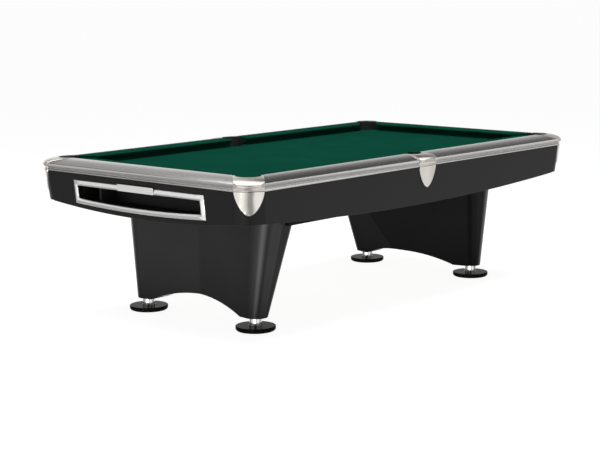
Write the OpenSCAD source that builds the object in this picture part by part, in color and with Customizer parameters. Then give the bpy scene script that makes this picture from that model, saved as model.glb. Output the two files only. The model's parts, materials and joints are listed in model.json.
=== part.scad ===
// Pool table with drop pockets, cast pocket corners, bowed aprons, two
// boomerang-plan pedestals and four screw levellers. Millimetres, +Z up.
// The origin is on the floor under the centre of the table. +X runs along the
// length: the foot end, with the ball opening, is at -X and the head end at +X.
// The right-hand long side is at -Y and the left-hand long side at +Y.

/* [Table] */
// Length over the rail caps
table_l = 2591; // [2540:1:2640]
// Width over the rail caps
table_w = 1473; // [1450:1:1500]
// Height of the inner edge of the rail caps above the floor
rail_top = 792; // [780:1:800]

/* [Playing surface] */
// Depth of the slate surface below the top of the rails
bed_drop = 46; // [44:0.5:48]
// Thickness of the slate
slate_t = 25.4; // [19:0.1:30]
// Height of the cushion nose above the slate
nose_h = 36.5; // [36:0.1:37]
// Width of a rail from its outer edge to the cushion nose
rail_w = 178; // [175:1:182]

/* [Pockets] */
// Radius of the hole in each pocket
pocket_r = 60; // [58:0.5:62]
// Distance of a corner pocket's centre from both outer edges
corner_in = 128; // [126:1:130]
// Distance of a side pocket's centre from the outer edge
side_in = 117; // [115:1:119]
// Width between the cushion noses at a corner pocket
corner_mouth = 115; // [112:1:118]
// Width between the cushion noses at a side pocket
side_mouth = 127; // [125:1:130]

/* [Rail caps and castings] */
// Width of the metal rail cap
cap_w = 97; // [95:1:99]
// Rise of the cap's crowned top above its chord
cap_crown = 4; // [3:0.5:6]
// Leg of the cut-off corner, along each outer edge
corner_cut = 98.5; // [97:0.5:100]
// Outward bow of a corner casting across the cut-off corner
corner_bow = 20; // [18:1:22]
// Width of a side casting
side_cast_w = 138; // [136:1:140]
// Outward bow of a side casting
side_bow = 10; // [8:1:12]

/* [Aprons and shields] */
// Height of the top edge of the aprons
apron_top = 732.5; // [730:0.5:734]
// Height of the bottom edge of the aprons at the corners
apron_low = 583; // [580:1:590]
// How far the side aprons' bottom edge bows down at its middle
side_sag = 37; // [30:1:40]
// How far the end aprons' bottom edge bows down at its middle
end_sag = 32; // [28:1:36]
// Inward lean of the aprons, in degrees
apron_lean = 6.8; // [5:0.1:8]
// Thickness of the aprons
apron_t = 20; // [18:1:22]
// Length of the metal shields below the castings
shield_l = 108; // [100:1:115]

/* [Ball opening] */
// Width of the opening
open_w = 840; // [800:1:860]
// Height of the opening's top edge above the floor
open_top = 675; // [670:1:680]
// Height of the opening's bottom edge above the floor, at its ends
open_low = 611; // [605:1:613]
// Width of the strip around the opening
strip_w = 26; // [22:1:28]
// How far the opening's bottom edge bows down at its middle
open_sag = 14; // [10:1:15]

/* [Pedestals] */
// Distance of the feet from the middle of the table, along its length
foot_x = 881.5; // [870:0.5:890]
// Distance of the feet from the middle of the table, across its width
foot_y = 373; // [365:0.5:380]
// Height of the bottom of the pedestal columns
ped_low = 64; // [60:1:68]
// Height of the top of the pedestals, where the beams rest
ped_top = 581; // [575:1:585]
// Height of the arch under a pedestal, at its middle
arch_h = 128; // [120:1:140]
// Radius of a column's bottom end
column_r = 57; // [50:1:60]
// Inboard offset of the inner crease from the feet, at its bottom end
crease_low = 155; // [135:1:165]
// Inboard offset of the inner crease from the feet, at its top end
crease_high = 253; // [240:1:280]

/* [Levellers] */
// Diameter of the foot pads
pad_d = 195; // [180:1:200]
// Thickness of the foot pads
pad_t = 24; // [20:1:26]
// Radius of the threaded stud
stud_r = 12; // [10:0.5:12]

/* [Hidden] */
$fn = 64;
gap = 0.3;
hl = table_l / 2;
hw = table_w / 2;
slate_z = rail_top - bed_drop;
slate_in = 88;
slate_l = table_l - 2 * slate_in;
slate_w = table_w - 2 * slate_in;
backer_t = 19.6;
backer_z = slate_z - slate_t - backer_t;
cloth_t = 1;
bed_z = slate_z + cloth_t;
nose_c = [rail_w - 4, slate_z + nose_h];
cloth_z = rail_top - 2;
beam_h = backer_z - ped_top;
beam_y = 522;
skirt_t = 24;
skirt_low = 514;
skirt_l = 1660;
cross_x = [-900, -740, 0, 740, 900];
crease_out = -3.5;
column_in = 4;
stem_r = 31;
nut_r = 22;
nut_low = 88;
nut_h = 30;
stud_top = 190;
socket_low = 13;
pin_r = 10;
track_w = 84;
track_h = 45;
track_t = 3;
track_in = 128;
cross_in = 242;
box_low = 580;
box_in = 27;
box_back = 196;
shelf_back = 150;
wall_t = 12;
chute_x = [-433, -308];
strip_t = 7;
badge_w = 246;
bolt_head = 7;
track_fall = 0.5;

// Corners as [name, side of the length, side of the width], f = foot, h = head
CORNERS = [["fr", -1, -1], ["fl", -1, 1], ["hr", 1, -1], ["hl", 1, 1]];

// ---- Curves ----

// Points of a circular arc round c from angle a0 to angle a1
function arc(c, r, a0, a1, n) =
    [for (i = [0:n]) c + r * [cos(a0 + (a1 - a0) * i / n), sin(a0 + (a1 - a0) * i / n)]];

// Points from p to q on an arc that bows to the left of that direction by sag
function bow(p, q, sag, n) =
    let (
        d = norm(q - p),
        r = (d * d / 4 + sag * sag) / (2 * sag),
        u = (q - p) / d,
        c = (p + q) / 2 + [u[1], -u[0]] * (r - sag),
        a = atan2(p[1] - c[1], p[0] - c[0])
    )
    arc(c, r, a, a - 2 * asin(d / 2 / r), n);

function flip(points) = [for (i = [len(points) - 1:-1:0]) points[i]];

// Radius of an arc over a half chord s with the given rise
function arc_radius(s, rise) = (s * s + rise * rise) / (2 * rise);

// ---- Places ----

// Stand a piece, drawn with its outer edge on the X axis and +Y inward, on one side
module on_right() { translate([0, -hw, 0]) children(); }
module on_left() { rotate(180) translate([0, -hw, 0]) children(); }
module on_foot() { rotate(-90) translate([0, -hl, 0]) children(); }
module on_head() { rotate(90) translate([0, -hl, 0]) children(); }

// Stand a piece, drawn with the sharp corner at the origin and +Y along the
// diagonal into the table, on one corner
module on_corner(c) {
    translate([c[1] * hl, c[2] * hw, 0])
        rotate(atan2(-c[2], -c[1]) - 90)
            children();
}

// Every pocket hole, as upright cylinders of radius r
module pocket_holes(r) {
    for (c = CORNERS)
        translate([c[1] * (hl - corner_in), c[2] * (hw - corner_in), 500]) cylinder(r = r, h = 400);
    for (s = [-1, 1])
        translate([0, s * (hw - side_in), 500]) cylinder(r = r, h = 400);
}

// ---- Rails, drawn on the X axis with +Y inward ----

// A section of [inset, height] points run along X over the rail's plan
module run_over(plan, section) {
    intersection() {
        translate([-hl, 0, 0]) rotate([90, 0, 90]) linear_extrude(table_l) polygon(section);
        linear_extrude(rail_top + 50) polygon(plan);
    }
}

// Where a rail's inner part ends beside a corner pocket, at inset y
function corner_face(half, y) =
    half - rail_w - corner_mouth / sqrt(2) + (rail_w - y) * tan(52);
function side_face(y) = side_mouth / 2 - (rail_w - y) * tan(14);

function end_cap_plan() =
    let (e = hw - corner_cut - gap) [[-e, -5], [e, -5], [e, 0], [e - cap_w, cap_w], [cap_w - e, cap_w], [-e, 0]];
function side_cap_plan() =
    let (e = hl - corner_cut - gap, s = side_cast_w / 2 + gap)
    [[s, -5], [e, -5], [e, 0], [e - cap_w, cap_w], [s, cap_w]];

// Plans of the wooden rail with its cushion, past the cap's inner edge too
function end_rail_plan() =
    let (e = hw - corner_cut - gap, f0 = corner_face(hw, cap_w), f1 = corner_face(hw, rail_w + 5))
    [[-e, 0], [e, 0], [e - cap_w, cap_w], [f0, cap_w], [f1, rail_w + 5],
     [-f1, rail_w + 5], [-f0, cap_w], [cap_w - e, cap_w]];
function side_rail_plan() =
    let (
        e = hl - corner_cut - gap,
        s = side_cast_w / 2 + gap,
        f0 = corner_face(hl, cap_w),
        f1 = corner_face(hl, rail_w + 5)
    )
    [[s, 0], [e, 0], [e - cap_w, cap_w], [f0, cap_w], [f1, rail_w + 5],
     [side_face(rail_w + 5), rail_w + 5], [side_face(cap_w), cap_w], [s, cap_w]];

cap_section = concat(
    arc([5, apron_top + 5], 5, 270, 90, 8),
    [[4, apron_top + 11], [4, apron_top + 12.5], [1.5, apron_top + 13], [1.5, apron_top + 16],
     [4, apron_top + 16.5], [4, apron_top + 18], [0, apron_top + 19], [0, apron_top + 34]],
    bow([1.5, apron_top + 36.5], [cap_w - 1.5, rail_top], cap_crown, 12),
    [[cap_w, rail_top - 1.5]],
    flip(bow([7, apron_top + 31], [cap_w, rail_top - 5], cap_crown, 12)),
    [[7, apron_top]]);

rail_section = concat(
    [[8, apron_top], [8, apron_top + 30]],
    [[cap_w - 0.1, rail_top - 6], [cap_w + 0.1, cloth_z - cloth_t], [146, cloth_z - cloth_t - 2.2]],
    [[150, bed_z + 10], [150, bed_z], [slate_in - 4, bed_z], [slate_in - 4, apron_top]]);

cushion_section = concat(
    [[150.2, bed_z + 10], [146.2, cloth_z - cloth_t - 2.2]],
    arc(nose_c, 3, 87, -50, 8));

cloth_section = concat(
    [[cap_w + gap, cloth_z]],
    arc(nose_c, 4, 87, -50, 8),
    [[151.2, bed_z + 9.4], [151.2, bed_z + gap], [150.2, bed_z + gap], [150.2, bed_z + 9.8]],
    arc(nose_c, 3.1, -50, 87, 8),
    [[cap_w + gap, cloth_z - cloth_t + 0.1]]);

// Places of the rail bolts along a rail, and their inset
function bolt_row(from, to) = [for (k = [1, 3, 5]) from + (to - from) * k / 6];
bolt_in = 116;
end_bolts = bolt_row(260 - hw, hw - 260);
side_bolts = bolt_row(110, hl - 260);

module bolt_holes(places, r) {
    for (x = places)
        translate([x, bolt_in, backer_z - 20]) cylinder(r = r, h = 110);
}

// Every rail bolt hole in the table
module all_bolt_holes(r) {
    on_foot() bolt_holes(end_bolts, r);
    on_head() bolt_holes(end_bolts, r);
    on_right() bolt_holes(side_bolts, r);
    on_left() bolt_holes(side_bolts, r);
    on_right() mirror([1, 0, 0]) bolt_holes(side_bolts, r);
    on_left() mirror([1, 0, 0]) bolt_holes(side_bolts, r);
}

module rail_wood(plan, bolts) {
    color("#8a6a48") difference() {
        run_over(plan, rail_section);
        bolt_holes(bolts, 5.5);
    }
}

module cap(plan) { color("#9a9a9c") run_over(plan, cap_section); }

// Trim whatever reaches into a pocket hole
module clear_of_pockets() {
    difference() {
        children();
        pocket_holes(pocket_r + 0.5);
    }
}

module rail_foot() { clear_of_pockets() on_foot() rail_wood(end_rail_plan(), end_bolts); }
module rail_head() { clear_of_pockets() on_head() rail_wood(end_rail_plan(), end_bolts); }
module rail_hr() { clear_of_pockets() on_right() rail_wood(side_rail_plan(), side_bolts); }
module rail_fl() { clear_of_pockets() on_left() rail_wood(side_rail_plan(), side_bolts); }
module rail_fr() { clear_of_pockets() mirror([1, 0, 0]) on_right() rail_wood(side_rail_plan(), side_bolts); }
module rail_hl() { clear_of_pockets() mirror([1, 0, 0]) on_left() rail_wood(side_rail_plan(), side_bolts); }

module end_pair(section) {
    clear_of_pockets() {
        on_foot() run_over(end_rail_plan(), section);
        on_head() run_over(end_rail_plan(), section);
    }
}

module side_four(section) {
    clear_of_pockets() {
        for (m = [0, 1]) mirror([m, 0, 0]) {
            on_right() run_over(side_rail_plan(), section);
            on_left() run_over(side_rail_plan(), section);
        }
    }
}

module end_cushions() { color("#2b2b2b") end_pair(cushion_section); }
module side_cushions() { color("#2b2b2b") side_four(cushion_section); }
module end_rail_cloths() { color("#0f4636") end_pair(cloth_section); }
module side_rail_cloths() { color("#0f4636") side_four(cloth_section); }

module cap_foot() { on_foot() cap(end_cap_plan()); }
module cap_head() { on_head() cap(end_cap_plan()); }
module cap_hr() { on_right() cap(side_cap_plan()); }
module cap_fl() { on_left() cap(side_cap_plan()); }
module cap_fr() { mirror([1, 0, 0]) on_right() cap(side_cap_plan()); }
module cap_hl() { mirror([1, 0, 0]) on_left() cap(side_cap_plan()); }

// ---- Bed ----

module slate_third(k) {
    third = slate_l / 3;
    color("#5c6266") difference() {
        translate([-slate_l / 2 + k * third + 0.1, -slate_w / 2, slate_z - slate_t])
            cube([third - 0.2, slate_w, slate_t]);
        pocket_holes(pocket_r + 2);
        all_bolt_holes(5.5);
    }
}

module slate_foot() { slate_third(0); }
module slate_centre() { slate_third(1); }
module slate_head() { slate_third(2); }

// A wooden frame glued under each slate
module slate_backers() {
    third = slate_l / 3;
    rim = 190;
    color("#b08b5c") difference() {
        for (k = [0:2]) translate([-slate_l / 2 + k * third + 1, -slate_w / 2, backer_z]) difference() {
            cube([third - 2, slate_w, backer_t]);
            translate([rim / 2, rim, -1]) cube([third - 2 - rim, slate_w - 2 * rim, backer_t + 2]);
        }
        pocket_holes(pocket_r + 2);
        all_bolt_holes(5.5);
    }
}

module bed_cloth() {
    color("#0f4636") difference() {
        translate([-slate_l / 2, -slate_w / 2, slate_z]) cube([slate_l, slate_w, cloth_t]);
        pocket_holes(pocket_r);
        all_bolt_holes(5.5);
    }
}

// ---- Castings ----

corner_half = corner_cut / sqrt(2);
corner_r = arc_radius(corner_half, corner_bow);
corner_axis = corner_half - corner_bow + corner_r;

bead_r = 4;
corner_lip = 8;
side_lip = 5;

// A casting's section as [radius, height]: a bead at the bottom of its skirt,
// a cove under the overhanging lip, then a dome that ends in a gentle slope at
// the pocket hole
function dome(outer, inner, low, wall, lip) =
    let (
        edge = outer + lip,
        shoulder = rail_top - 31,
        rise = 28.5,
        reach = min(edge - inner, 78),
        top = min(rail_top, shoulder + rise + 0.1 * (edge - 0.7 * reach - inner))
    )
    concat(
        arc([outer - bead_r, low + bead_r], bead_r, -90, 80, 8),
        bow([outer - 2, low + 2 * bead_r + 1], [edge - 1, shoulder - 5], 1.5, 6),
        [[edge, shoulder - 4]],
        [for (i = [0:12]) [edge - reach + reach * cos(i * 6), shoulder + rise * sin(i * 6)]],
        [[inner, top], [inner, shoulder]],
        [[inner + wall, shoulder], [inner + wall, top - wall - 2]],
        [for (i = [11:-1:0])
            [outer - reach + (reach - wall) * cos(i * 6), shoulder + (rise - wall) * sin(i * 6)]],
        [[outer - wall, low]]);

module corner_casting(c) {
    color("#d6d2cc") on_corner(c) difference() {
        intersection() {
            translate([0, corner_axis, 0])
                rotate_extrude($fn = 180) polygon(dome(corner_r, pocket_r, apron_top + 3, 5, corner_lip));
            translate([-corner_half, 0, 500]) cube([2 * corner_half, 400, 400]);
            translate([0, 0, 500]) rotate(45) cube([400, 400, 400]);
        }
        translate([0, cap_w * sqrt(2), 500]) rotate(45) cube([400, 400, 400]);
    }
}

module corner_casting_fr() { corner_casting(CORNERS[0]); }
module corner_casting_fl() { corner_casting(CORNERS[1]); }
module corner_casting_hr() { corner_casting(CORNERS[2]); }
module corner_casting_hl() { corner_casting(CORNERS[3]); }

side_half = side_cast_w / 2;
side_r = arc_radius(side_half, side_bow);
side_axis = side_r - side_bow;

module side_casting() {
    color("#d6d2cc") difference() {
        intersection() {
            translate([0, side_axis, 0])
                rotate_extrude($fn = 360)
                    polygon(dome(side_r, side_axis - cap_w, apron_top + 3, 5, side_lip));
            translate([-side_half, -side_bow, 500]) cube([side_cast_w, cap_w + side_bow, 400]);
        }
        translate([0, side_in, 500]) cylinder(r = pocket_r, h = 400);
    }
}

module side_casting_r() { on_right() side_casting(); }
module side_casting_l() { on_left() side_casting(); }

// ---- Aprons ----

apron_in = 3;
apron_h = apron_top - apron_low;
lean_in = apron_h * tan(apron_lean);

// A leaning plate with its bottom edge bowed, between two mitred ends
module apron(half, sag) {
    e = half - corner_cut - gap;
    low = -apron_h / cos(apron_lean);
    arch = bow([e + 1, low], [-e - 1, low], sag * 1.15, 32);
    color("#2f2d2d") intersection() {
        translate([0, apron_in, apron_top]) rotate([apron_lean, 0, 0])
            translate([0, apron_t, 0]) rotate([90, 0, 0])
                linear_extrude(apron_t) polygon(concat([[-half, 5], [half, 5], [half, low]], arch, [[-half, low]]));
        linear_extrude(apron_top) polygon([[-e, 0], [e, 0], [e - 100, 100], [100 - e, 100]]);
    }
}

// The opening's outline, grown by g, on the leaning plate: X along the
// plate and Y up it, from the plate's top edge
function opening(g) =
    let (w = open_w / 2 + g, top = open_top - apron_top + g, low = open_low - apron_top - g)
    concat([[-w, top], [w, top]], bow([w, low], [-w, low], open_sag, 16));

module on_plate() {
    translate([0, apron_in, apron_top]) rotate([apron_lean, 0, 0]) rotate([90, 0, 0]) children();
}

module apron_foot() {
    on_foot() color("#2f2d2d") difference() {
        apron(hw, end_sag);
        on_plate() translate([0, 0, -60]) linear_extrude(100) polygon(opening(0));
    }
}
module apron_head() { on_head() apron(hw, end_sag); }
module apron_right() { on_right() apron(hl, side_sag); }
module apron_left() { on_left() apron(hl, side_sag); }

// Radius from a corner's axis to the apron face at inset y
function corner_face_r(y) = norm([corner_half, corner_axis - (corner_cut + 2 * y) / sqrt(2)]);

module corner_apron(c, out, back, top) {
    r_top = corner_face_r(apron_in) + out;
    r_low = corner_face_r(apron_in + lean_in) + out;
    on_corner(c) intersection() {
        translate([0, corner_axis, 0]) rotate_extrude($fn = 180)
            polygon([[r_top, top], [r_top - back, top], [r_low - back, apron_low], [r_low, apron_low]]);
        translate([-corner_half, 0, 500]) cube([2 * corner_half, corner_axis - 10, 400]);
    }
}

module corner_aprons() {
    color("#2f2d2d") for (c = CORNERS) corner_apron(c, 0, apron_t, apron_top);
}

// A tongue outline, hanging down from the origin
function tongue(half, l) =
    let (n = 24, side = [for (i = [0:n]) let (t = sin(90 * i / n)) [half * pow(1 - pow(t, 1.5), 0.6), -l * t]])
    concat(side, [for (i = [n - 1:-1:0]) [-side[i][0], side[i][1]]]);

module corner_shields() {
    color("#cfcbc4") for (c = CORNERS) intersection() {
        corner_apron(c, 5.3, 5, apron_top + 2);
        on_corner(c) translate([0, 200, apron_top + 2])
            rotate([90, 0, 0]) linear_extrude(300) polygon(tongue(corner_half - 1, shield_l));
    }
}

module side_shield() {
    translate([0, apron_in - gap, apron_top]) rotate([apron_lean, 0, 0]) intersection() {
        translate([0, side_axis, -200]) cylinder(r = side_r - 1, h = 202, $fn = 360);
        translate([0, 0, 2]) rotate([90, 0, 0]) linear_extrude(60) polygon(tongue(side_half - 1, shield_l));
    }
}

module side_shields() {
    color("#cfcbc4") {
        on_right() side_shield();
        on_left() side_shield();
    }
}

// ---- Ball opening ----

module opening_frame() {
    color("#e2e2e0") on_foot() on_plate() translate([0, 0, gap]) linear_extrude(strip_t) difference() {
        polygon(opening(strip_w));
        polygon(opening(0));
    }
}

// A plain blank plate over the middle of the top strip
module badge_plate() {
    color("#e2e2e0") on_foot() on_plate()
        translate([-badge_w / 2, open_top - apron_top + 0.5, strip_t + 2 * gap]) cube([badge_w, strip_w + 7, 2]);
}

// Two compartments behind the opening: a deep one that the balls roll out of,
// and a shallow shelf
module ball_box() {
    w = chute_x[0] - wall_t;
    top = backer_z - bolt_head - 1;
    color("#262424") on_foot() difference() {
        translate([w, box_in + 22, box_low]) cube([-2 * w, box_back - box_in - 22, top - box_low]);
        translate([chute_x[0], box_in, box_low + wall_t])
            cube([chute_x[1] - chute_x[0], 300, top - box_low - 2 * wall_t]);
        translate([chute_x[1] + wall_t, box_in, box_low + wall_t])
            cube([-chute_x[0] - chute_x[1] - wall_t, shelf_back - box_in, top - box_low - 2 * wall_t]);
    }
}

// ---- Frame and pedestals ----

// Each side beam rests on both pedestals, and its outer half reaches down
// between them as a skirt
module side_beams() {
    color("#222121") for (m = [0, 1]) mirror([0, m, 0]) {
        translate([-990, beam_y - 22, ped_top]) cube([1980, 44, beam_h]);
        translate([-skirt_l / 2, beam_y + 22 - skirt_t, skirt_low])
            cube([skirt_l, skirt_t, ped_top + 1 - skirt_low]);
    }
}

module cross_beams() {
    color("#b08b5c") for (x = cross_x)
        translate([x - 22, 22 - beam_y, ped_top]) cube([44, 2 * beam_y - 44, beam_h]);
}

// One half of a pedestal: a column that swells upward and inward, drawn with
// its foot at the origin and +X toward the middle of the table, with the
// half wall that reaches the crease on the table's centre line, at -Y
module pedestal_half() {
    outer_top = [57, 40];
    outer_r = 105;
    inner_top = [119, 66];
    inner_r = 70;
    rise = ped_top - ped_low;
    hull() {
        translate([column_in, 0, 0]) cylinder(r = column_r, h = 1, $fn = 96);
        translate([outer_top[0], outer_top[1], rise - 1]) cylinder(r = outer_r, h = 1, $fn = 96);
        translate([inner_top[0], inner_top[1], rise - 1]) cylinder(r = inner_r, h = 1, $fn = 96);
        translate([crease_out, -foot_y, 0]) cube([crease_low - crease_out, 0.5, 1]);
        translate([crease_out, -foot_y, rise - 1]) cube([crease_high - crease_out, 0.5, 1]);
    }
}

module pedestal() {
    arch_r = arc_radius(foot_y - 62, arch_h - ped_low);
    color("#2b2a2a") difference() {
        for (m = [0, 1]) mirror([0, m, 0])
            translate([-foot_x, foot_y, ped_low]) pedestal_half();
        translate([-foot_x - 200, 0, arch_h - arch_r]) rotate([0, 90, 0]) cylinder(r = arch_r, h = 700, $fn = 360);
        for (s = [-1, 1]) translate([-foot_x, s * foot_y, 0]) {
            cylinder(r = stem_r + 5, h = nut_low);
            cylinder(r = nut_r + 0.1, h = nut_low + nut_h);
            cylinder(r = stud_r + 1, h = stud_top + 25);
        }
        translate([20 - foot_x, -330, 240]) cube([70, 660, 400]);
    }
}

module pedestal_foot() { pedestal(); }
module pedestal_head() { mirror([1, 0, 0]) pedestal(); }

// ---- Pockets and ball return ----

// Half widths of the opening in a pocket's sleeve, between the rails' facings
corner_gate = 46.5;
side_gate = 54.5;

// A sleeve that lines a pocket down through the slate. Above the bed it is
// open toward the table, in the direction of turn.
module pocket(x, y, turn, gate) {
    color("#1c1b1b") translate([x, y, backer_z]) difference() {
        cylinder(r = pocket_r - 0.5, h = rail_top - 5 - backer_z);
        translate([0, 0, -1]) cylinder(r = pocket_r - 4, h = 200);
        rotate(turn) translate([0, -gate, slate_z - 6 - backer_z]) cube([100, 2 * gate, 100]);
    }
}

module corner_pocket(c) {
    pocket(c[1] * (hl - corner_in), c[2] * (hw - corner_in), atan2(-c[2], -c[1]), corner_gate);
}

module pocket_fr() { corner_pocket(CORNERS[0]); }
module pocket_fl() { corner_pocket(CORNERS[1]); }
module pocket_hr() { corner_pocket(CORNERS[2]); }
module pocket_hl() { corner_pocket(CORNERS[3]); }
module pocket_mr() { pocket(0, side_in - hw, 90, side_gate); }
module pocket_ml() { pocket(0, hw - side_in, -90, side_gate); }

// A channel that runs along +X from the origin
module channel(l) {
    color("#8a8d90") difference() {
        translate([0, -track_w / 2, 0]) cube([l, track_w, track_h]);
        translate([-1, track_t - track_w / 2, track_t]) cube([l + 2, track_w - 2 * track_t, track_h]);
    }
}

module side_track() {
    translate([cross_in - track_w / 2 - hl, track_in - hw, 632]) rotate([0, -track_fall, 0])
        channel(table_l - cross_in - track_in + track_w / 2 + 58);
}

module track_right() { side_track(); }
module track_left() { mirror([0, 1, 0]) side_track(); }

// The channel across the foot end slopes down to the chute, where its front
// wall is open
module track_cross() {
    l = table_w - 2 * track_in - track_w - 4;
    on_foot() difference() {
        translate([-l / 2, cross_in, 608]) rotate([0, -1, 0]) channel(l);
        translate([chute_x[0], cross_in - track_w / 2 - 5, 614]) cube([chute_x[1] - chute_x[0], 20, 60]);
    }
}

// ---- Fasteners ----

module rail_bolt_row(places) {
    for (x = places) translate([x, bolt_in, 0]) {
        translate([0, 0, backer_z - bolt_head]) cylinder(r = 9, h = bolt_head - 0.1, $fn = 6);
        translate([0, 0, backer_z - 0.2]) cylinder(r = 5, h = 85);
    }
}

module rail_bolts() {
    color("#8a8d90") {
        on_foot() rail_bolt_row(end_bolts);
        on_head() rail_bolt_row(end_bolts);
        for (m = [0, 1]) mirror([m, 0, 0]) {
            on_right() rail_bolt_row(side_bolts);
            on_left() rail_bolt_row(side_bolts);
        }
    }
}

// ---- Levellers ----

module on_foot_place(c) { translate([c[1] * foot_x, c[2] * foot_y, 0]) children(); }

module leveller_nuts() {
    color("#8a8d90") for (c = CORNERS) on_foot_place(c)
        translate([0, 0, nut_low + 0.2]) difference() {
            cylinder(r = nut_r, h = nut_h - 0.4);
            translate([0, 0, -1]) cylinder(r = stud_r + 0.05, h = nut_h + 2);
        }
}

// A round pad with a socket that the stem turns in
module foot_pad(c) {
    r = pad_d / 2;
    profile = concat([[0, 0]], arc([r - 12, 12], 12, -90, 0, 8), arc([r - 3, pad_t - 3], 3, 0, 90, 4), [[0, pad_t]]);
    color("#161515") on_foot_place(c) difference() {
        rotate_extrude($fn = 96) polygon(profile);
        translate([0, 0, socket_low]) cylinder(r = pin_r + 0.05, h = 50);
    }
}

// A straight chrome collar on a threaded stud, with a pin below
module foot_stem(c) {
    low = pad_t + gap;
    profile = [[0, low], [stem_r + 1, low], [stem_r + 1, low + 4], [stem_r, low + 5], [stem_r, ped_low + 6],
               [stem_r - 3, ped_low + 8], [0, ped_low + 8]];
    color("#d8d8d6") on_foot_place(c) {
        rotate_extrude($fn = 96) polygon(profile);
        translate([0, 0, socket_low + gap]) cylinder(r = pin_r, h = pad_t);
        translate([0, 0, low]) cylinder(r = stud_r, h = stud_top - low);
    }
}

module foot_pad_fr() { foot_pad(CORNERS[0]); }
module foot_pad_fl() { foot_pad(CORNERS[1]); }
module foot_pad_hr() { foot_pad(CORNERS[2]); }
module foot_pad_hl() { foot_pad(CORNERS[3]); }
module foot_stem_fr() { foot_stem(CORNERS[0]); }
module foot_stem_fl() { foot_stem(CORNERS[1]); }
module foot_stem_hr() { foot_stem(CORNERS[2]); }
module foot_stem_hl() { foot_stem(CORNERS[3]); }

slate_foot();
slate_centre();
slate_head();
slate_backers();
bed_cloth();
rail_foot();
rail_head();
rail_fr();
rail_hr();
rail_fl();
rail_hl();
end_cushions();
side_cushions();
end_rail_cloths();
side_rail_cloths();
cap_foot();
cap_head();
cap_fr();
cap_hr();
cap_fl();
cap_hl();
corner_casting_fr();
corner_casting_fl();
corner_casting_hr();
corner_casting_hl();
side_casting_r();
side_casting_l();
corner_shields();
side_shields();
apron_foot();
apron_head();
apron_right();
apron_left();
corner_aprons();
opening_frame();
badge_plate();
ball_box();
pedestal_foot();
pedestal_head();
side_beams();
cross_beams();
pocket_fr();
pocket_fl();
pocket_hr();
pocket_hl();
pocket_mr();
pocket_ml();
track_right();
track_left();
track_cross();
rail_bolts();
leveller_nuts();
foot_pad_fr();
foot_pad_fl();
foot_pad_hr();
foot_pad_hl();
foot_stem_fr();
foot_stem_fl();
foot_stem_hr();
foot_stem_hl();
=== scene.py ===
"""Looks for the pool table: cloths, cushions, trim, finishes, light and camera, in metres."""
import json
import math

import bmesh
import bpy
from mathutils import Matrix, Vector


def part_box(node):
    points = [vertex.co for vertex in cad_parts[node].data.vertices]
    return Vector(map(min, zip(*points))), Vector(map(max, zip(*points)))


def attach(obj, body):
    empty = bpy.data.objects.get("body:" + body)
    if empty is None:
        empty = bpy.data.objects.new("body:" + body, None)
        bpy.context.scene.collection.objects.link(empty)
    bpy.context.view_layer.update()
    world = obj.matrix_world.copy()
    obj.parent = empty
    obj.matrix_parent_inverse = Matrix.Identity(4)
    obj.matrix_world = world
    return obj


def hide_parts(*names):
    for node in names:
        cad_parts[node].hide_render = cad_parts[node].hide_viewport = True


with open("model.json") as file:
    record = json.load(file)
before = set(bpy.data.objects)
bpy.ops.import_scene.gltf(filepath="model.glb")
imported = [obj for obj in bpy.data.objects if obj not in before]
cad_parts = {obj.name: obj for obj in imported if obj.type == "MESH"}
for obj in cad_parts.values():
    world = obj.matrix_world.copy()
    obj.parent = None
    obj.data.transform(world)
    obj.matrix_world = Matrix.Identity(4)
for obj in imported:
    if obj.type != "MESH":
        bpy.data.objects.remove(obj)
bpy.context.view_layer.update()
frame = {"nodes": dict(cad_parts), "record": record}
nodes = frame["nodes"]
record = frame["record"]

MM = 0.001

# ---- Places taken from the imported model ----

cap_low, cap_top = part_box("cap_fr")
foot_cap_low, foot_cap_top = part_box("cap_foot")
bed_low, bed_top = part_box("bed_cloth")
HALF_L = -foot_cap_low.x
HALF_W = -cap_low.y
RAIL_TOP = cap_top.z
BED_Z = bed_top.z
CAP_W = foot_cap_top.x - foot_cap_low.x
RAIL_W = 178 * MM
CORNER_IN = 128 * MM
SIDE_IN = 117 * MM
CORNER_MOUTH = 115 * MM
SIDE_MOUTH = 127 * MM
POCKET_R = 60 * MM
NOSE = (174 * MM, 782.5 * MM)
CLOTH_Z = RAIL_TOP - 2 * MM
APRON_TOP = 732.5 * MM
APRON_LEAN = math.radians(6.8)
APRON_IN = 3 * MM
OPEN_W = 840 * MM
OPEN_TOP = 675 * MM
OPEN_LOW = 611 * MM
OPEN_SAG = 14 * MM
# Inset of the cushion's lower back edge
CUSHION_BACK = 151.2 * MM
# Flare of the facings at a corner pocket and at a side pocket
CORNER_FLARE = math.radians(52)
SIDE_FLARE = math.radians(14)


# ---- Node materials ----

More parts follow.
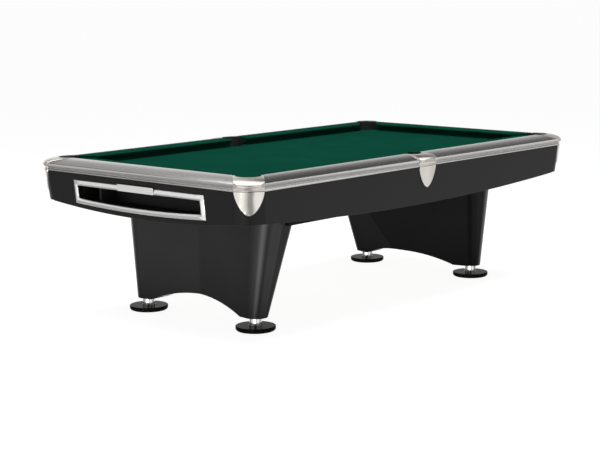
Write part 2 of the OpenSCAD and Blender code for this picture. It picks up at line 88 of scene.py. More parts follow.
class Paint:
    """A principled material under construction, with short calls for its nodes."""

    def __init__(self, name, color, roughness, metallic=0.0, **sockets):
        self.mat = bpy.data.materials.new(name)
        self.mat.use_nodes = True
        self.tree = self.mat.node_tree
        self.shader = self.tree.nodes["Principled BSDF"]
        self.shader.inputs["Base Color"].default_value = (*color, 1)
        self.shader.inputs["Roughness"].default_value = roughness
        self.shader.inputs["Metallic"].default_value = metallic
        for key, value in sockets.items():
            self.shader.inputs[key.replace("_", " ")].default_value = value
        self.mat.diffuse_color = (*color, 1)
        coordinates = self.node("ShaderNodeTexCoord")
        self.place, self.face = coordinates.outputs["Object"], coordinates.outputs["Normal"]
        self.normal = None

    def node(self, kind, **values):
        made = self.tree.nodes.new(kind)
        for key, value in values.items():
            setattr(made, key, value)
        return made

    def link(self, a, b):
        self.tree.links.new(a, b)

    def stretched(self, scale, turn=(0, 0, 0)):
        """Object coordinates, turned and then scaled."""
        mapping = self.node("ShaderNodeMapping")
        mapping.inputs["Rotation"].default_value = turn
        mapping.inputs["Scale"].default_value = scale
        self.link(self.place, mapping.inputs["Vector"])
        return mapping.outputs["Vector"]

    def part(self, axis, vector=None):
        """One coordinate of a vector, or of the place on the object."""
        split = self.node("ShaderNodeSeparateXYZ")
        self.link(vector or self.place, split.inputs[0])
        return split.outputs["xyz".index(axis)]

    def noise(self, scale, detail=2.0, rough=0.5, place=None, distortion=0.0):
        made = self.node("ShaderNodeTexNoise")
        made.inputs["Scale"].default_value = scale
        made.inputs["Detail"].default_value = detail
        made.inputs["Roughness"].default_value = rough
        made.inputs["Distortion"].default_value = distortion
        self.link(place or self.place, made.inputs["Vector"])
        return made.outputs["Fac"]

    def voronoi(self, scale):
        made = self.node("ShaderNodeTexVoronoi", feature="F1")
        made.inputs["Scale"].default_value = scale
        self.link(self.place, made.inputs["Vector"])
        return made.outputs["Distance"]

    def wave(self, scale, direction, distortion):
        made = self.node("ShaderNodeTexWave", bands_direction=direction)
        made.inputs["Scale"].default_value = scale
        made.inputs["Distortion"].default_value = distortion
        self.link(self.place, made.inputs["Vector"])
        return made.outputs["Fac"]

    def remap(self, value, low, high, start=0.0, end=1.0):
        made = self.node("ShaderNodeMapRange")
        self.link(value, made.inputs["Value"])
        for key, number in (("From Min", start), ("From Max", end), ("To Min", low), ("To Max", high)):
            made.inputs[key].default_value = number
        return made.outputs["Result"]

    def ramp(self, value, stops):
        made = self.node("ShaderNodeValToRGB")
        points = made.color_ramp.elements
        while len(points) < len(stops):
            points.new(0.5)
        for point, (at, color) in zip(points, stops):
            point.position = at
            point.color = (*color, 1)
        self.link(value, made.inputs["Fac"])
        return made.outputs["Color"]

    def sum(self, a, b, share):
        """a plus share times b."""
        made = self.node("ShaderNodeMath", operation="MULTIPLY_ADD")
        self.link(b, made.inputs[0])
        made.inputs[1].default_value = share
        self.link(a, made.inputs[2])
        return made.outputs[0]

    def product(self, a, b):
        made = self.node("ShaderNodeMath", operation="MULTIPLY")
        self.link(a, made.inputs[0])
        self.link(b, made.inputs[1])
        return made.outputs[0]

    def tint(self, value, stops):
        self.link(self.ramp(value, stops), self.shader.inputs["Base Color"])

    def dull(self, value, low, high):
        self.link(self.remap(value, low, high), self.shader.inputs["Roughness"])

    def bump(self, value, strength, distance):
        made = self.node("ShaderNodeBump")
        made.inputs["Strength"].default_value = strength
        made.inputs["Distance"].default_value = distance
        self.link(value, made.inputs["Height"])
        if self.normal is not None:
            self.link(self.normal, made.inputs["Normal"])
        self.normal = made.outputs["Normal"]
        self.link(self.normal, self.shader.inputs["Normal"])


def shade(color, gain):
    return tuple(c * gain for c in color)


def felt():
    green = (0.0030, 0.047, 0.029)
    p = Paint("felt", green, 0.95, Specular_IOR_Level=0.0, Sheen_Weight=0.03,
              Sheen_Roughness=0.5, Sheen_Tint=(0.08, 0.6, 0.4, 1))
    fibre = p.noise(1100, 3, 0.65, place=p.stretched((1, 2.2, 1)))
    cloudy = p.noise(5, 3, 0.5)
    p.tint(p.sum(fibre, cloudy, 0.6), [(0.45, shade(green, 0.86)), (0.8, green), (1.0, shade(green, 1.16))])
    warp = p.wave(420, "X", 2.0)
    weft = p.wave(420, "Y", 2.0)
    p.bump(p.sum(warp, weft, 1.0), 0.12, 0.0002)
    p.bump(fibre, 0.35, 0.0003)
    return p.mat


def brushed(name, color, roughness, along, streak=0.06, metallic=1.0):
    """Metal with fine scratches along one axis: 0 for X, 1 for Y."""
    p = Paint(name, color, roughness, metallic)
    fine = [1500, 1500, 1500]
    fine[along] = 7
    lines = p.noise(1, 3, 0.6, place=p.stretched(fine))
    broad = [160, 160, 160]
    broad[along] = 1.5
    bands = p.noise(1, 2, 0.5, place=p.stretched(broad))
    smudge = p.noise(6, 4, 0.6)
    p.tint(p.sum(lines, bands, 0.5),
           [(0.35, shade(color, 1 - streak)), (0.75, color), (1.1, shade(color, 1 + streak))])
    p.dull(p.sum(lines, smudge, 0.7), roughness - 0.05, roughness + 0.05)
    p.bump(lines, 0.06, 0.0001)
    return p.mat


def cast_nickel(name, roughness):
    color = (0.73, 0.70, 0.655)
    p = Paint(name, color, roughness, 1.0)
    grain = p.noise(900, 3, 0.6)
    smudge = p.noise(14, 4, 0.6)
    p.tint(p.sum(grain, smudge, 0.8), [(0.5, shade(color, 0.93)), (0.9, color), (1.3, shade(color, 1.03))])
    p.dull(p.sum(grain, smudge, 0.8), 0.7 * roughness, 1.3 * roughness)
    p.bump(grain, 0.05, 0.0001)
    return p.mat


def laminate():
    color = (0.0078, 0.0068, 0.0068)
    p = Paint("black_laminate", color, 0.34, Specular_IOR_Level=0.22)
    pores = p.noise(700, 3, 0.6)
    smudge = p.noise(4, 4, 0.6)
    p.tint(p.sum(pores, smudge, 0.7), [(0.45, shade(color, 0.85)), (0.85, color), (1.2, shade(color, 1.2))])
    p.dull(p.sum(pores, smudge, 0.8), 0.28, 0.46)
    p.bump(pores, 0.10, 0.0002)
    return p.mat


def satin_black():
    color = (0.0048, 0.0045, 0.0047)
    p = Paint("satin_black_lacquer", color, 0.26, Specular_IOR_Level=0.5)
    peel = p.noise(260, 2, 0.5)
    fine = p.noise(1300, 2, 0.5)
    smudge = p.noise(3.5, 4, 0.6)
    p.tint(p.sum(fine, smudge, 0.8), [(0.5, shade(color, 0.88)), (0.9, color), (1.3, shade(color, 1.15))])
    p.dull(p.sum(fine, smudge, 0.8), 0.19, 0.33)
    # painted shade: less reflective where a surface faces the middle of the table, and towards the
    # feet, standing in for the shade under the table and near the floor that this studio lacks
    painted_shade_inner = p.remap(p.product(p.part("x"), p.part("x", p.face)), 0.5, 0.09, 0.1, -0.1)
    height = p.ramp(p.part("z"), [(0.06, (0.4,) * 3), (0.16, (0.75,) * 3), (0.32, (1.0,) * 3)])
    p.link(p.product(painted_shade_inner, height), p.shader.inputs["Specular IOR Level"])
    p.bump(peel, 0.05, 0.0004)
    p.bump(fine, 0.06, 0.0002)
    return p.mat


def black_stain_and_shade():
    # a black stain, made darker and duller than the other blacks: painted shade, so the beams under the apron
    # read as shaded
    color = (0.0030, 0.0028, 0.0028)
    p = Paint("black_stain_and_shade", color, 0.6, Specular_IOR_Level=0.12)
    grain = p.noise(1, 4, 0.6, place=p.stretched((6, 180, 180)))
    p.tint(grain, [(0.35, shade(color, 0.7)), (0.6, color), (0.8, shade(color, 1.5))])
    p.dull(grain, 0.5, 0.7)
    p.bump(grain, 0.15, 0.0003)
    return p.mat


def gloss_black():
    color = (0.0035, 0.0033, 0.0033)
    p = Paint("gloss_black_pad", color, 0.16, Specular_IOR_Level=0.01)
    dust = p.noise(90, 4, 0.7)
    # painted glints: bright gold-brown specks in the colour stand in for sparkling reflections on the pad
    painted_glint_specks = p.voronoi(230)
    p.tint(painted_glint_specks, [(0.0, (0.42, 0.34, 0.24)), (0.13, (0.10, 0.08, 0.06)), (0.2, color),
                    (1.0, shade(color, 1.6))])
    p.dull(dust, 0.1, 0.22)
    p.bump(painted_glint_specks, 0.06, 0.0003)
    return p.mat


def chrome():
    color = (0.83, 0.82, 0.80)
    p = Paint("chrome_stem", color, 0.09, 1.0)
    turned = p.noise(1, 3, 0.6, place=p.stretched((60, 60, 1800)))
    smudge = p.noise(40, 4, 0.6)
    p.tint(turned, [(0.3, shade(color, 0.94)), (0.7, color)])
    p.dull(p.sum(turned, smudge, 0.8), 0.05, 0.18)
    p.bump(turned, 0.03, 0.0001)
    return p.mat


def board():
    color = (0.021, 0.0205, 0.021)
    p = Paint("matt_board", color, 0.6, Specular_IOR_Level=0.35)
    chips = p.noise(220, 4, 0.7)
    p.tint(chips, [(0.3, shade(color, 0.7)), (0.6, color), (0.8, shade(color, 1.4))])
    p.dull(chips, 0.5, 0.75)
    p.bump(chips, 0.15, 0.0004)
    return p.mat


def liner_rubber(name, color):
    p = Paint(name, color, 0.62, Specular_IOR_Level=0.4)
    pebble = p.voronoi(420)
    dust = p.noise(30, 4, 0.6)
    p.tint(dust, [(0.35, shade(color, 0.8)), (0.6, color), (0.85, shade(color, 1.7))])
    p.dull(dust, 0.5, 0.75)
    p.bump(pebble, 0.25, 0.0004)
    return p.mat


def zinc():
    color = (0.50, 0.50, 0.52)
    p = Paint("zinc_steel", color, 0.38, 0.9)
    spangle = p.voronoi(90)
    fine = p.noise(600, 3, 0.6)
    p.tint(spangle, [(0.0, shade(color, 0.82)), (0.45, color), (0.9, shade(color, 1.15))])
    p.dull(p.sum(spangle, fine, 0.6), 0.28, 0.5)
    p.bump(fine, 0.08, 0.0002)
    return p.mat


def timber(along):
    """Planed softwood with its grain along one axis: 0 for X, 1 for Y."""
    pale, dark = (0.52, 0.33, 0.17), (0.27, 0.14, 0.06)
    p = Paint("timber_" + "xy"[along], pale, 0.62, Specular_IOR_Level=0.3)
    stretch = [26, 26, 26]
    stretch[along] = 1.4
    grain = p.noise(1, 5, 0.65, place=p.stretched(stretch), distortion=1.2)
    fine = [420, 420, 420]
    fine[along] = 9
    pores = p.noise(1, 3, 0.6, place=p.stretched(fine))
    p.tint(p.sum(grain, pores, 0.35), [(0.42, dark), (0.62, shade(pale, 0.8)), (0.95, pale)])
    p.dull(pores, 0.5, 0.75)
    p.bump(p.sum(pores, grain, 0.5), 0.25, 0.0004)
    return p.mat


def slate():
    color = (0.085, 0.095, 0.105)
    p = Paint("honed_slate", color, 0.55, Specular_IOR_Level=0.4)
    cloud = p.noise(7, 6, 0.65)
    fine = p.noise(500, 4, 0.7)
    p.tint(p.sum(cloud, fine, 0.4), [(0.4, shade(color, 0.7)), (0.7, color), (1.0, shade(color, 1.35))])
    p.dull(fine, 0.45, 0.7)
    p.bump(p.sum(fine, p.noise(1, 4, 0.6, place=p.stretched((30, 30, 900))), 0.8), 0.2, 0.0004)
    return p.mat


FELT = felt()
RAIL_METAL = [brushed("rail_metal_" + "xy"[along], (0.60, 0.59, 0.575), 0.17, along) for along in (0, 1)]
BRIGHT = brushed("bright_aluminium", (0.94, 0.94, 0.93), 0.22, 1, 0.03, 0.92)
TIMBER = [timber(0), timber(1)]
BLACK_STAIN_AND_SHADE = black_stain_and_shade()
SHIELD = cast_nickel("shield_nickel", 0.15)
FINISHES = {
    "slate": slate(), "casting": cast_nickel("cast_nickel", 0.24), "black_laminate": laminate(),
    "bright_aluminium": BRIGHT,
    "box_board": board(), "pedestal_black": satin_black(),
    "pocket_liner": liner_rubber("pocket_rubber", (0.011, 0.011, 0.011)),
    "cushion_rubber": liner_rubber("cushion_rubber", (0.05, 0.048, 0.046)), "steel": zinc(),
    "pad_black": gloss_black(), "stem_chrome": chrome(), "cloth": FELT,
}


def finish_of(name, slot):
    if name.endswith("_shields"):
        return SHIELD
    if name == "side_beams" or slot == "timber" and name.startswith("rail_"):
        return BLACK_STAIN_AND_SHADE
    across = name.endswith(("_foot", "_head")) or name == "cross_beams"
    if slot == "rail_metal":
        return RAIL_METAL[1 if across else 0]
    if slot == "timber":
        return TIMBER[1 if across else 0]
    return FINISHES[slot]


# ---- Edges and finishes of the CAD parts ----

# Width of each material's softened edges, in millimetres
EDGES = {"casting": 0.8, "black_laminate": 1.6, "bright_aluminium": 0.7, "rail_metal": 0.8,
         "pedestal_black": 2.5, "pad_black": 0.8, "stem_chrome": 0.5, "timber": 1.2, "slate": 0.8,
         "box_board": 0.8, "pocket_liner": 0.8, "steel": 0.5}


def soften(obj, width, angle=32, segments=2):
    """Round the sharp edges and smooth the rest."""
    weld = obj.modifiers.new("weld", "WELD")
    weld.merge_threshold = 0.00002
    bevel = obj.modifiers.new("bevel", "BEVEL")
    bevel.width = width
    bevel.segments = segments
    bevel.limit_method = "ANGLE"
    bevel.angle_limit = math.radians(angle)
    bevel.use_clamp_overlap = True
    bevel.miter_outer = "MITER_ARC"
    normal = obj.modifiers.new("normals", "WEIGHTED_NORMAL")
    normal.keep_sharp = True
    normal.weight = 60


def paint(obj, material):
    obj.data.materials.clear()
    obj.data.materials.append(material)


for part in record["subparts"]:
    name, slot = part["node"], part["material_slot"]
    obj = nodes[name]
    paint(obj, finish_of(name, slot))
    if slot in EDGES:
        for face in obj.data.polygons:
            face.use_smooth = True
        soften(obj, EDGES[slot] * MM)


# ---- New pieces ----

def build(name, verts, faces, material):
    mesh = bpy.data.meshes.new(name)
    mesh.from_pydata([tuple(v) for v in verts], [], faces)
    mesh.validate()
    work = bmesh.new()
    work.from_mesh(mesh)
    bmesh.ops.remove_doubles(work, verts=work.verts, dist=0.000005)
    bmesh.ops.recalc_face_normals(work, faces=work.faces)
    work.to_mesh(mesh)
    work.free()
    for face in mesh.polygons:
        face.use_smooth = True
    obj = bpy.data.objects.new(name, mesh)
    bpy.context.scene.collection.objects.link(obj)
    mesh.materials.append(material)
    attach(obj, "table")
    return obj


def grid_faces(rows, columns):
    return [(r * columns + c, r * columns + c + 1, (r + 1) * columns + c + 1, (r + 1) * columns + c)
            for r in range(rows - 1) for c in range(columns - 1)]


# A rail's local frame has x along its outer edge and y inward
PLACE = {
    "right": lambda x, y, z: Vector((x, y - HALF_W, z)),
    "left": lambda x, y, z: Vector((-x, HALF_W - y, z)),
    "foot": lambda x, y, z: Vector((y - HALF_L, -x, z)),
    "head": lambda x, y, z: Vector((HALF_L - y, x, z)),
}
# Each rail with the sides of its two ends: c for a corner pocket, s for a side pocket
RAILS = [
    ("foot", "foot", "c", "c", 1), ("head", "head", "c", "c", 1),
    ("hr", "right", "s", "c", 1), ("fr", "right", "s", "c", -1),
    ("fl", "left", "s", "c", 1), ("hl", "left", "s", "c", -1),
]


def rail_end(kind, half, y, proud=0.0):
    """Where the rail ends along its length, at inset y: at its facing or at the pocket hole."""
    radius = POCKET_R + 0.5 * MM - proud / 3
    if kind == "c":
        face = half - RAIL_W - CORNER_MOUTH / math.sqrt(2)
        face += (RAIL_W - y) * math.tan(CORNER_FLARE) + 1.6 * proud
        off = y - CORNER_IN
        if abs(off) < radius:
            face = min(face, half - CORNER_IN - math.sqrt(radius ** 2 - off ** 2))
        return face
    face = SIDE_MOUTH / 2 - (RAIL_W - y) * math.tan(SIDE_FLARE) - proud
    off = y - SIDE_IN
    if abs(off) < radius:
        face = max(face, math.sqrt(radius ** 2 - off ** 2))
    return face


# How far the cloth stands proud of the wood at the rails' ends
PROUD = 0.9 * MM
# Gap between the rail cloth and the bed cloth
CLOTH_GAP = 0.4 * MM
# Steps along a rail's section: from the cap to the nose, round the nose, and to the bed
TO_NOSE, ROUND_NOSE, TO_BED = 14, 10, 5


def rail_section(grow):
    """The cushion's outline as (inset, height), from the cap over the nose to the bed, grown outward."""
    r = 4 * MM + grow
    start, end = 87, -50

    def round_nose(at):
        angle = math.radians(at)
        return NOSE[0] + r * math.cos(angle), NOSE[1] + r * math.sin(angle)

    top = round_nose(start)
    first = (CAP_W + 0.3 * MM, CLOTH_Z + grow)
    run = [(first[0] + (top[0] - first[0]) * i / TO_NOSE, first[1] + (top[1] - first[1]) * i / TO_NOSE)
           for i in range(TO_NOSE)]
    arc = [round_nose(start + (end - start) * i / ROUND_NOSE) for i in range(ROUND_NOSE + 1)]
    low = (CUSHION_BACK, BED_Z + 9.4 * MM)
    last = arc[-1]
    under = [(last[0] + (low[0] - last[0]) * i / TO_BED, last[1] + (low[1] - last[1]) * i / TO_BED)
             for i in range(1, TO_BED + 1)]
    return run + arc + under + [(CUSHION_BACK, BED_Z + 4 * MM), (CUSHION_BACK, BED_Z + CLOTH_GAP)]


def rail_ends(kind0, kind1, half, y, proud=0.0):
    end = rail_end(kind1, half, y, proud)
    start = -end if kind0 == "c" else rail_end("s", half, y, proud)
    return start, end


def facing(section, kind, half, place, flip, sign):
    """The cloth folded down over a rail's end, as columns from the top to the underside."""
    top = section[:TO_NOSE + 7]
    verts = []
    count = 7
    for y, z in top:
        if y < CUSHION_BACK:
            low = BED_Z + CLOTH_GAP
        else:
            low = None
            for (y0, z0), (y1, z1) in zip(section[TO_NOSE + 1:], section[TO_NOSE + 2:]):
                if min(y0, y1) <= y <= max(y0, y1) and min(z0, z1) < z - 0.2 * MM and abs(y1 - y0) > 1e-9:
                    low = z0 + (z1 - z0) * (y - y0) / (y1 - y0)
            if low is None or low > z:
                low = z
        x = rail_end(kind, half, y, PROUD)
        for k in range(count):
            verts.append(place(flip * sign * x, y, z + (low - z) * k / (count - 1)))
    return verts, grid_faces(len(top), count)


def rail_cloth(name, side, kind0, kind1, flip):
    half = HALF_W if kind0 == "c" else HALF_L
    place = PLACE[side]
    section = rail_section(0)
    count = 25
    verts = []
    for y, z in section:
        start, end = rail_ends(kind0, kind1, half, y, PROUD)
        for k in range(count):
            verts.append(place(flip * (start + (end - start) * k / (count - 1)), y, z))
    faces = grid_faces(len(section), count)
    for kind, sign in ((kind0, -1 if kind0 == "c" else 1), (kind1, 1)):
        more, quads = facing(section, kind, half, place, flip, sign)
        base = len(verts)
        verts += more
        faces += [tuple(base + i for i in q) for q in quads]
    return build("rail_cloth_" + name, verts, faces, FELT), section


long_cloths, end_cloths = [], []
for name, side, kind0, kind1, flip in RAILS:
    cloth, outline = rail_cloth(name, side, kind0, kind1, flip)
    (end_cloths if kind0 == "c" else long_cloths).append(cloth)
    bevel = cloth.modifiers.new("fold", "BEVEL")
    bevel.width = 1.6 * MM
    bevel.segments = 3
    bevel.limit_method = "ANGLE"
    bevel.angle_limit = math.radians(40)
    thick = cloth.modifiers.new("thick", "SOLIDIFY")
    thick.thickness = 0.9 * MM
    thick.offset = -1
    half = HALF_W if kind0 == "c" else HALF_L
    start, end = rail_ends(kind0, kind1, half, RAIL_W)
for cloth in end_cloths:
    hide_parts("end_rail_cloths")
for cloth in long_cloths:
    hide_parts("side_rail_cloths")


# ---- Rubber cushions under the cloth ----

def cushion(name, side, kind0, kind1, flip):
    half = HALF_W if kind0 == "c" else HALF_L
    place = PLACE[side]
    r = 2.9 * MM
    section = [(150.4 * MM, BED_Z + 10.2 * MM), (146.4 * MM, CLOTH_Z - 3.4 * MM)]
    for i in range(9):
        angle = math.radians(87 - 137 * i / 8)
        section.append((NOSE[0] + r * math.cos(angle), NOSE[1] + r * math.sin(angle)))
    count = 9
    verts = []
    for y, z in section + section[:1]:
        start, end = rail_ends(kind0, kind1, half, y)
        start, end = start + 1.5 * MM, end - 1.5 * MM
        for k in range(count):
            verts.append(place(flip * (start + (end - start) * k / (count - 1)), y, z))
    faces = grid_faces(len(section) + 1, count)
    rows = len(section)
    faces.append(tuple(r * count for r in range(rows)))
    faces.append(tuple(r * count + count - 1 for r in reversed(range(rows))))
    obj = build("cushion_" + name, verts, faces, FINISHES["cushion_rubber"])
    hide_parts("end_cushions" if kind0 == "c" else "side_cushions")


for rail in RAILS:
    cushion(*rail)


# ---- Bed cloth ----

def bed_outline(radius):
    """The bed cloth's outline, a rectangle bitten by the six pockets."""
    bx, by = bed_top.x, bed_top.y
    side_reach = math.asin((by - (HALF_W - SIDE_IN)) / radius)
    cx, cy = HALF_L - CORNER_IN, HALF_W - CORNER_IN
    ax = math.asin((by - cy) / radius)
    ay = math.acos((bx - cx) / radius)

    def corner(sx, sy):
        # from the crossing with the long edge, round inside the bed, to the crossing with the end edge
        first, last = math.pi - ax, 2 * math.pi - ay
        turns = [first + (last - first) * i / 24 for i in range(25)]
        return [(sx * (cx + radius * math.cos(a)), sy * (cy + radius * math.sin(a))) for a in turns]

    def middle(sy):
        first, last = math.pi - side_reach, 2 * math.pi + side_reach
        turns = [first + (last - first) * i / 28 for i in range(29)]
        return [(radius * math.cos(a), sy * (HALF_W - SIDE_IN + radius * math.sin(a))) for a in turns]

    return [corner(1, 1), corner(1, -1)[::-1], middle(-1)[::-1],
            corner(-1, -1), corner(-1, 1)[::-1], middle(1)]


def bed_cloth():
    roll = 5 * MM
    tuck = 14 * MM
    levels = [(roll * (1 - math.sin(a)), -roll * (1 - math.cos(a))) for a in (0, 0.4, 0.8, 1.2, math.pi / 2)]
    levels.append((0, -roll - tuck))
    rings = [[bed_outline(POCKET_R + 0.8 * MM + out), BED_Z + down] for out, down in levels]
    mesh = bmesh.new()
    outer = []
    for arc_index in range(6):
        columns = []
        for arcs, z in rings:
            columns.append([mesh.verts.new((x, y, z)) for x, y in arcs[arc_index]])
        for upper, lower in zip(columns, columns[1:]):
            for i in range(len(upper) - 1):
                mesh.faces.new((upper[i], upper[i + 1], lower[i + 1], lower[i]))
        outer += columns[0]
    mesh.faces.new(outer)
    bmesh.ops.recalc_face_normals(mesh, faces=mesh.faces)
    for axis, reach in ((0, 1.2), (1, 0.6)):
        for step in range(-11, 12):
            at = step * 0.1 + 0.005
            if abs(at) < reach:
                normal = (1, 0, 0) if axis == 0 else (0, 1, 0)
                point = (at, 0, 0) if axis == 0 else (0, at, 0)
                bmesh.ops.bisect_plane(mesh, geom=[*mesh.verts, *mesh.edges, *mesh.faces],
                                       plane_co=point, plane_no=normal)
    data = bpy.data.meshes.new("bed_cloth_sheet")
    mesh.to_mesh(data)
    mesh.free()
    for face in data.polygons:
        face.use_smooth = True
    obj = bpy.data.objects.new("bed_cloth_sheet", data)
    bpy.context.scene.collection.objects.link(obj)
    data.materials.append(FELT)
    if sum(face.normal.z * face.area for face in data.polygons) < 0:
        data.flip_normals()
    thick = obj.modifiers.new("thick", "SOLIDIFY")
    thick.thickness = 0.8 * MM
    thick.offset = -1
    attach(obj, "table")
    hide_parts("bed_cloth")


bed_cloth()


# ---- Frame round the ball opening ----

def opening_frame():
    """A mitred strip with a ridge: a broad outer facet and a narrow inner one."""
    half, sag = OPEN_W / 2, OPEN_SAG
    top, bottom = OPEN_TOP - APRON_TOP, OPEN_LOW - APRON_TOP

    def outline(grow):
        w, t, b = half + grow, top + grow, bottom - grow
        points = [(-w, b + (t - b) * i / 4) for i in range(4)] + [(-w + 2 * w * i / 24, t) for i in range(24)]
        points += [(w, t + (b - t) * i / 4) for i in range(4)]
        radius = (w * w + sag * sag) / (2 * sag)
        turn = math.asin(w / radius)
        turns = [turn - 2 * turn * i / 24 for i in range(24)]
        points += [(radius * math.sin(a), b - sag + radius - radius * math.cos(a)) for a in turns]
        return points

    profile = [(0.3, -2.0), (0.0, 1.0), (0.6, 3.6), (1.6, 4.6), (8.0, 7.2), (9.2, 7.4), (10.4, 7.2),
               (23.6, 2.6), (25.2, 1.9), (26.0, 0.8), (26.0, 0.2), (1.2, 0.2)]
    verts, rows = [], []
    for grow, proud in profile:
        ring = outline(grow * MM)
        rows.append(len(ring))
        for x, y in ring:
            # the plate leans: up the plate is y, out of it is proud
            up, out = y, proud * MM
            inset = APRON_IN - up * math.sin(APRON_LEAN) - out * math.cos(APRON_LEAN)
            height = APRON_TOP + up * math.cos(APRON_LEAN) - out * math.sin(APRON_LEAN)
            verts.append(PLACE["foot"](x, inset, height))
    n = rows[0]
    faces = []
    for r in range(len(profile)):
        nxt = (r + 1) % len(profile)
        for c in range(n):
            faces.append((r * n + c, r * n + (c + 1) % n, nxt * n + (c + 1) % n, nxt * n + c))
    obj = build("opening_frame_trim", verts, faces, BRIGHT)
    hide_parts("opening_frame")
    normal = obj.modifiers.new("normals", "WEIGHTED_NORMAL")
    normal.weight = 80


opening_frame()

# ---- Floor, light and camera ----

def stage():
    size = 160
    mesh = bpy.data.meshes.new("floor")
    corners = [(-size, -size, 0), (size, -size, 0), (size, size, 0), (-size, size, 0)]
    mesh.from_pydata(corners, [], [(0, 1, 2, 3)])
    floor = bpy.data.objects.new("floor", mesh)
    bpy.context.scene.collection.objects.link(floor)
    p = Paint("white_floor", (0.3, 0.3, 0.3), 0.9, Specular_IOR_Level=0.0, Emission_Color=(1, 1, 1, 1),
              Emission_Strength=0.93)
    mesh.materials.append(p.mat)
    floor.visible_glossy = False


def softbox(name, place, target, size, power):
    light = bpy.data.lights.new(name, "AREA")
    light.shape = "RECTANGLE"
    light.size, light.size_y = size
    light.energy = power
    obj = bpy.data.objects.new(name, light)
    bpy.context.scene.collection.objects.link(obj)
    obj.location = place
    obj.rotation_euler = (Vector(target) - Vector(place)).to_track_quat("-Z", "Y").to_euler()
    obj.visible_camera = False
    return obj


# Strength of the background. The lit patch in front of the table has this brightness, and
# every other value is divided by it, since a mixed colour is clamped at 1.
PATCH = 9.0
# What the reflections show, by bearing in degrees from +X toward +Y: a pale wall behind the
# table, two softboxes beside the camera, and dark studio between them
WALLS = [(-180, 1.1), (-166, 1.05), (-156, 0.4), (-138, 0.08), (-122, 0.3), (-110, 1.1), (-86, 1.1),
         (-68, 0.85), (-42, 0.98), (-14, 0.9), (0, 0.85), (36, 0.85), (50, 1.2), (66, 1.25), (80, 1.05),
         (100, 0.3), (122, 0.32), (132, 0.92), (142, 1.0), (152, 0.8), (166, 1.0), (180, 1.1)]
# How they fade with height, from the horizon at 0 to straight up at 1
FADE = [(0.0, 1.0), (0.2, 1.0), (0.3, 0.6), (0.4, 0.2), (0.5, 0.08), (0.6, 0.06), (1.0, 0.05)]
# A dim band just below the horizon, beside the left and right of the camera. Heights here and
# below run from straight down at 0 to straight up at 1.
DIM_RISE = [(0.385, 1.0), (0.4, 0.2), (0.445, 0.2), (0.46, 1.0)]
DIM_BEARING = [(-76, 1.0), (-62, 0.2), (-22, 0.2), (-8, 1.0), (116, 1.0), (126, 0.2), (150, 0.2), (160, 1.0)]
# The lit patch in front of the table, low behind the camera
PATCH_RISE = [(0.325, 0.0), (0.35, 0.7), (0.368, 1.0), (0.395, 0.7), (0.43, 0.0)]
PATCH_BEARING = [(-176, 0.0), (-166, 0.5), (-159, 1.0), (-147, 1.0), (-138, 0.5), (-124, 0.0)]
# A pale ceiling strip beyond the head end, by elevation in degrees
STRIP_ELEVATION = [(14, 0.0), (24, 0.25), (34, 0.35), (42, 0.4), (52, 0.0)]
STRIP_BEARING = [(40, 0.0), (48, 1.0), (72, 1.0), (84, 0.0)]


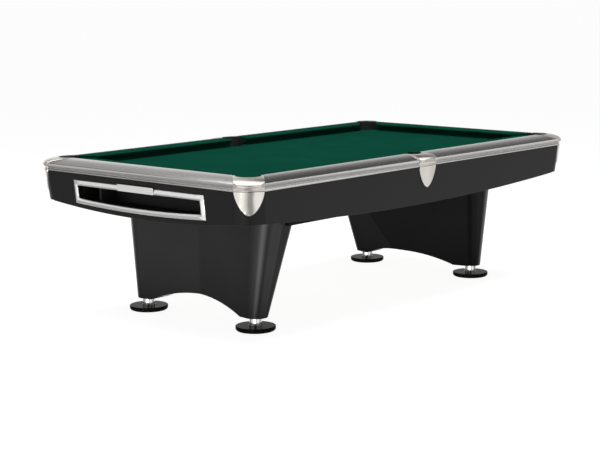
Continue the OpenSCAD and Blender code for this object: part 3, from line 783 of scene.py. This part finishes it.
def sky():
    """The studio seen in reflections. Its brightness depends on the bearing and the height."""
    world = bpy.data.worlds.new("studio")
    bpy.context.scene.world = world
    world.use_nodes = True
    tree = world.node_tree
    new, link = tree.nodes.new, tree.links.new
    back = tree.nodes["Background"]
    place, split, rise = new("ShaderNodeTexCoord"), new("ShaderNodeSeparateXYZ"), new("ShaderNodeMapRange")
    link(place.outputs["Generated"], split.inputs[0])
    rise.inputs["From Min"].default_value = -1
    link(split.outputs["Z"], rise.inputs["Value"])
    bearing = new("ShaderNodeMath")
    bearing.operation = "ARCTAN2"
    link(split.outputs["Y"], bearing.inputs[0])
    link(split.outputs["X"], bearing.inputs[1])
    turn = new("ShaderNodeMapRange")
    link(bearing.outputs[0], turn.inputs["Value"])
    turn.inputs["From Min"].default_value = -math.pi
    turn.inputs["From Max"].default_value = math.pi

    def blend(kind, a, b):
        mixed = new("ShaderNodeMix")
        mixed.data_type, mixed.blend_type = "RGBA", kind
        mixed.inputs["Factor"].default_value = 1.0
        link(a, mixed.inputs["A"])
        link(b, mixed.inputs["B"])
        return mixed.outputs["Result"]

    def ramp(value, stops):
        made = new("ShaderNodeValToRGB")
        link(value, made.inputs["Fac"])
        grey_ramp(made, stops)
        return made.outputs["Color"]

    def by_rise(stops):
        return ramp(rise.outputs["Result"], stops)

    def by_bearing(stops, share=1.0):
        return ramp(turn.outputs["Result"], [((at + 180) / 360, value / share) for at, value in stops])

    light = blend("MULTIPLY", ramp(split.outputs["Z"], FADE), by_bearing(WALLS, PATCH))
    light = blend("MULTIPLY", light, blend("LIGHTEN", by_rise(DIM_RISE), by_bearing(DIM_BEARING)))
    light = blend("ADD", light, blend("MULTIPLY", by_rise(PATCH_RISE), by_bearing(PATCH_BEARING)))
    strip = by_rise([((math.sin(math.radians(at)) + 1) / 2, value / PATCH) for at, value in STRIP_ELEVATION])
    light = blend("ADD", light, blend("MULTIPLY", strip, by_bearing(STRIP_BEARING)))
    seen = new("ShaderNodeMix")
    seen.data_type = "RGBA"
    link(new("ShaderNodeLightPath").outputs["Is Camera Ray"], seen.inputs["Factor"])
    link(light, seen.inputs["A"])
    seen.inputs["B"].default_value = (1 / PATCH, 1 / PATCH, 1 / PATCH, 1)
    link(seen.outputs["Result"], back.inputs["Color"])
    back.inputs["Strength"].default_value = PATCH


def grey_ramp(node, stops):
    points = node.color_ramp.elements
    while len(points) < len(stops):
        points.new(0.5)
    for point, (at, value) in zip(points, stops):
        point.position = at
        point.color = (value, value, value, 1)


# Fitted to the photographed view: bearing, downward tilt and roll in degrees, lens in mm, place in metres
CAMERA_TURN = (41.63, 9.18, -0.45)
CAMERA_LENS = 92.39
CAMERA_PLACE = (-6.115, -5.3132, 1.6672)


def camera():
    yaw, pitch, roll = (math.radians(angle) for angle in CAMERA_TURN)
    ahead = Vector((math.cos(pitch) * math.cos(yaw), math.cos(pitch) * math.sin(yaw), -math.sin(pitch)))
    right = ahead.cross(Vector((0, 0, 1))).normalized()
    up = right.cross(ahead)
    across = math.cos(roll) * right + math.sin(roll) * up
    upward = -math.sin(roll) * right + math.cos(roll) * up
    data = bpy.data.cameras.new("camera")
    data.sensor_width = 36
    data.lens = CAMERA_LENS
    data.clip_end = 500
    obj = bpy.data.objects.new("camera", data)
    bpy.context.scene.collection.objects.link(obj)
    turn = Matrix((across, upward, -ahead)).transposed().to_4x4()
    turn.translation = CAMERA_PLACE
    obj.matrix_world = turn
    bpy.context.scene.camera = obj


# Overhead boxes that show only in reflections: name, centre, size
GLOSS_BOXES = [("gloss_foot", (-1.65, -0.85, 2.4), (3.1, 4.4)), ("gloss_side", (1.1, -1.7, 2.4), (2.4, 2.6))]
GLOSS_POWER = 1.5 * math.pi

stage()
sky()
top_light = softbox("overhead", (0, 0, 4.0), (0, 0, 0), (5.0, 4.0), 190)
top_light.visible_glossy = False
for name, place, size in GLOSS_BOXES:
    light = softbox(name, place, (*place[:2], 0), size, GLOSS_POWER * size[0] * size[1])
    light.visible_diffuse = False
camera()
bpy.context.scene.view_settings.view_transform = "Standard"
